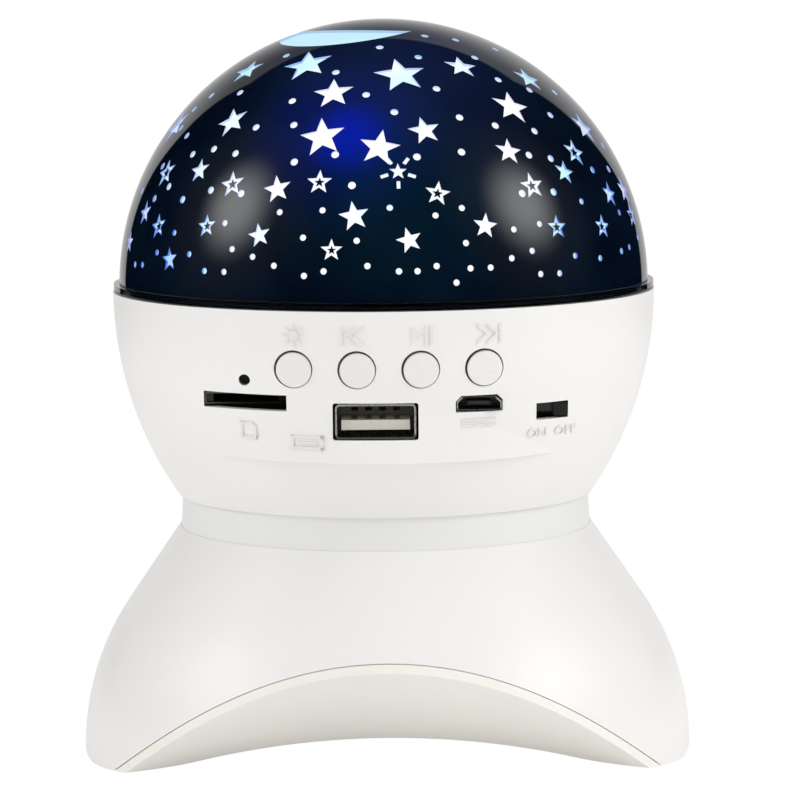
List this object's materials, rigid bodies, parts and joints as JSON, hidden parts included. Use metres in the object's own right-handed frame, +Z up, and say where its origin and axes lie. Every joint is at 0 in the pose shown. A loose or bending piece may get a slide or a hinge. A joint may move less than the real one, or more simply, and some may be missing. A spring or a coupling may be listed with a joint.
{
  "type": "star night light projector",
  "caption": "Turning star-pattern dome on a round housing with buttons and sockets, over a flared arched speaker base; a bedside night light projector.",
  "frame": {"origin": "centre of the footprint, on the table under the feet", "axes": "+Z up along the dome's axis, the panel with buttons and sockets faces -Y, +X to the right seen from the front"},
  "size_m": [0.1054, 0.0954, 0.1271],
  "materials": {
    "dome_clear": "clear, polished",
    "mask_navy": "printed film, near black",
    "body_white": "satin gloss, warm white",
    "cover_cream": "satin",
    "drive_acetal": "moulded, plain",
    "steel": "plated sheet",
    "black_plastic": "moulded",
    "brass": "plain",
    "circuit_board": "solder mask",
    "rubber_black": "soft",
    "tongue_cream": "moulded",
    "cell_sleeve": "can in a coloured sleeve",
    "magnet_black": "coated",
    "cone_paper": "pressed paper",
    "lamp_clear": "moulded lens"
  },
  "bodies": {
    "housing": {"turntable_plate": "drive_acetal", "motor_can": "steel", "motor_gearbox": "black_plastic", "lamp_board": "circuit_board", "lamps": "lamp_clear", "upper_housing": "body_white", "neck_ring": "body_white", "base_shell": "body_white", "bottom_cover": "cover_cream", "foot_pads": "rubber_black", "main_board": "circuit_board", "board_chips": "black_plastic", "usb_shell": "steel", "usb_tongue": "tongue_cream", "usb_contacts": "brass", "charge_shell": "steel", "charge_tongue": "black_plastic", "card_socket": "steel", "card_insulator": "black_plastic", "microphone": "black_plastic", "button_switches": "black_plastic", "switch_body": "steel", "battery_cell": "cell_sleeve", "battery_tray": "black_plastic", "speaker_frame": "black_plastic", "speaker_surround": "rubber_black", "speaker_magnet": "magnet_black", "neck_screws": "steel", "plate_screws": "steel", "board_screws": "steel", "foot_screws": "steel"},
    "dome": {"dome_lens": "dome_clear", "star_mask": "mask_navy", "drive_ring": "drive_acetal"},
    "pinion": {"motor_pinion": "brass", "motor_shaft": "steel"},
    "light_button": {"button_light": "body_white"},
    "previous_button": {"button_previous": "body_white"},
    "play_button": {"button_play": "body_white"},
    "next_button": {"button_next": "body_white"},
    "power_switch": {"power_knob": "black_plastic"},
    "cone": {"speaker_cone": "cone_paper"}
  },
  "joints": [
    {"name": "dome_spin", "type": "hinge", "parent": "housing", "child": "dome", "pos_m": [0, 0, 0.0815], "axis": [0, 0, 1], "continuous": true},
    {"name": "pinion_spin", "type": "hinge", "parent": "housing", "child": "pinion", "pos_m": [0, 0.03, 0.077], "axis": [0, 0, 1], "continuous": true},
    {"name": "light_press", "type": "slide", "parent": "housing", "child": "light_button", "axis": [0, 1, 0], "range_m": [0, 0.0005], "stiffness_N_per_m": 1500},
    {"name": "previous_press", "type": "slide", "parent": "housing", "child": "previous_button", "axis": [0, 1, 0], "range_m": [0, 0.0005], "stiffness_N_per_m": 1500},
    {"name": "play_press", "type": "slide", "parent": "housing", "child": "play_button", "axis": [0, 1, 0], "range_m": [0, 0.0005], "stiffness_N_per_m": 1500},
    {"name": "next_press", "type": "slide", "parent": "housing", "child": "next_button", "axis": [0, 1, 0], "range_m": [0, 0.0005], "stiffness_N_per_m": 1500},
    {"name": "power_slide", "type": "slide", "parent": "housing", "child": "power_switch", "axis": [1, 0, 0], "range_m": [-0.0028, 0]},
    {"name": "cone_stroke", "type": "slide", "parent": "housing", "child": "cone", "axis": [0, 0, 1], "range_m": [-0.0008, 0.0008], "stiffness_N_per_m": 1200}
  ],
  "couplings": [
    {"joint": "pinion_spin", "follows": "dome_spin", "ratio": 6}
  ]
}
